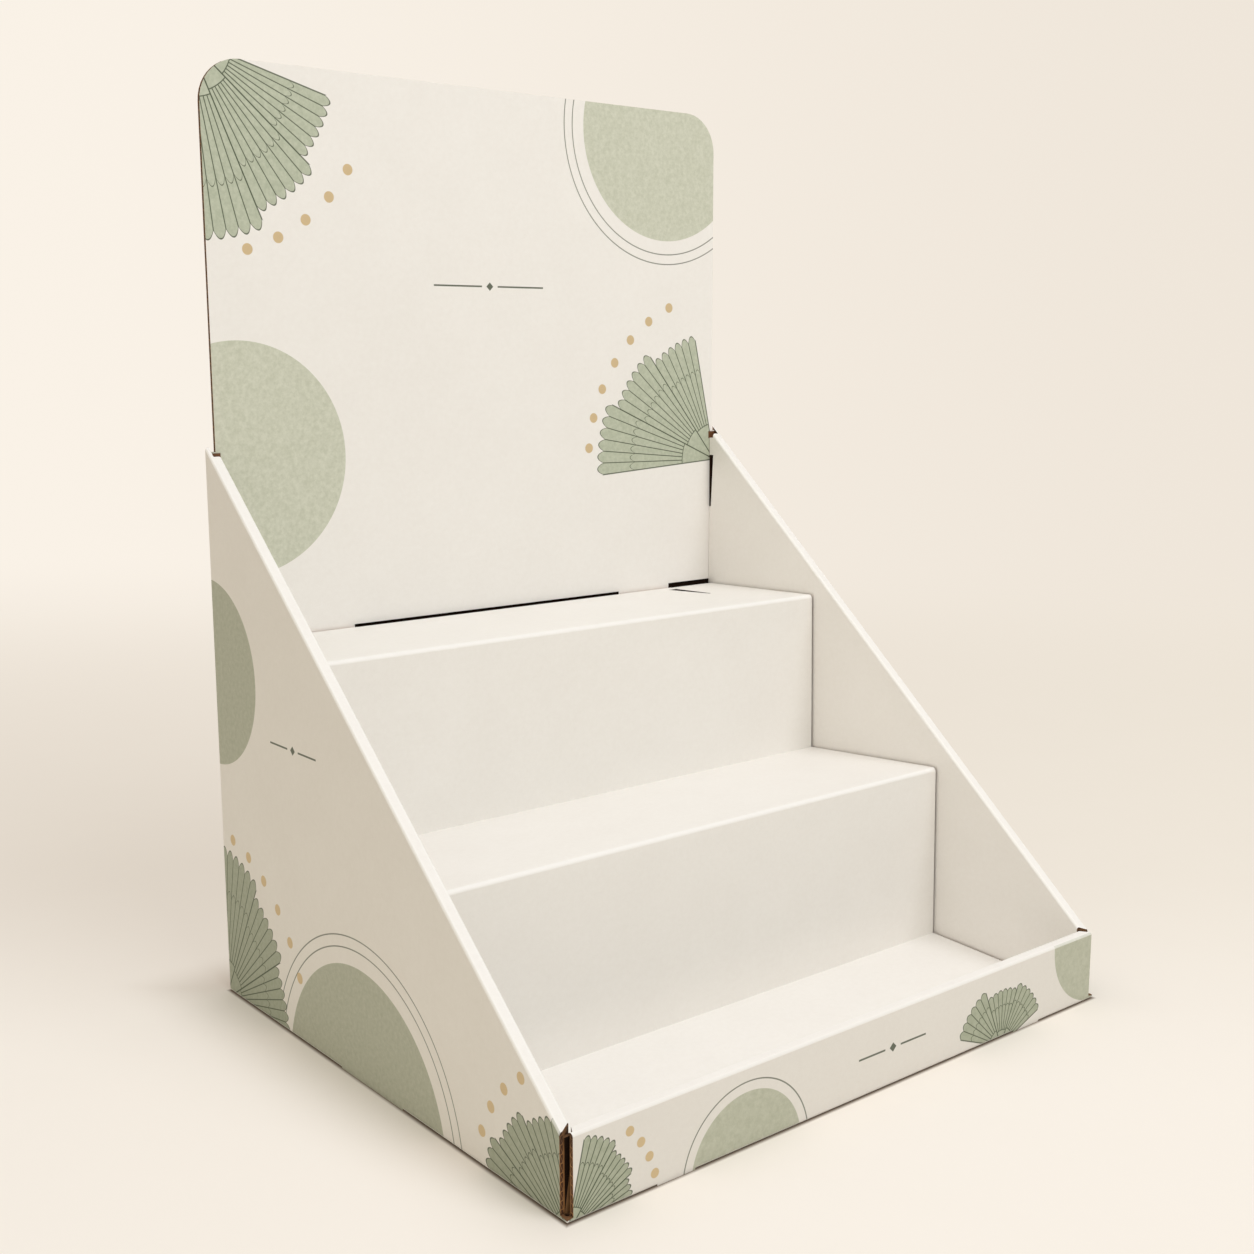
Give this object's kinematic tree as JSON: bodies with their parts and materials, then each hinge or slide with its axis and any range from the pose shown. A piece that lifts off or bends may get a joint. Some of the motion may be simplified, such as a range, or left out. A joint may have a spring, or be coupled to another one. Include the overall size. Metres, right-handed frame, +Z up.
{
  "type": "cardboard display stand",
  "caption": "Counter display stand folded from white-lined corrugated board, with a tall rounded header, sloped double side walls, a low rolled front lip and a stepped insert.",
  "frame": {"origin": "on the ground, in the middle of the footprint", "axes": "+X across the stand to its right, seen from the front; +Y from the front lip to the back panel; +Z up"},
  "size_m": [0.3, 0.258, 0.414],
  "materials": {
    "tray_board": "white-lined corrugated board, matt, kraft on the inside",
    "panel_board": "white-lined corrugated board, matt, kraft on the rear",
    "insert_board": "white-lined corrugated board, matt, kraft underneath"
  },
  "bodies": {
    "root": {"tray": "tray_board", "back_panel": "panel_board", "step_insert": "insert_board"}
  },
  "joints": []
}
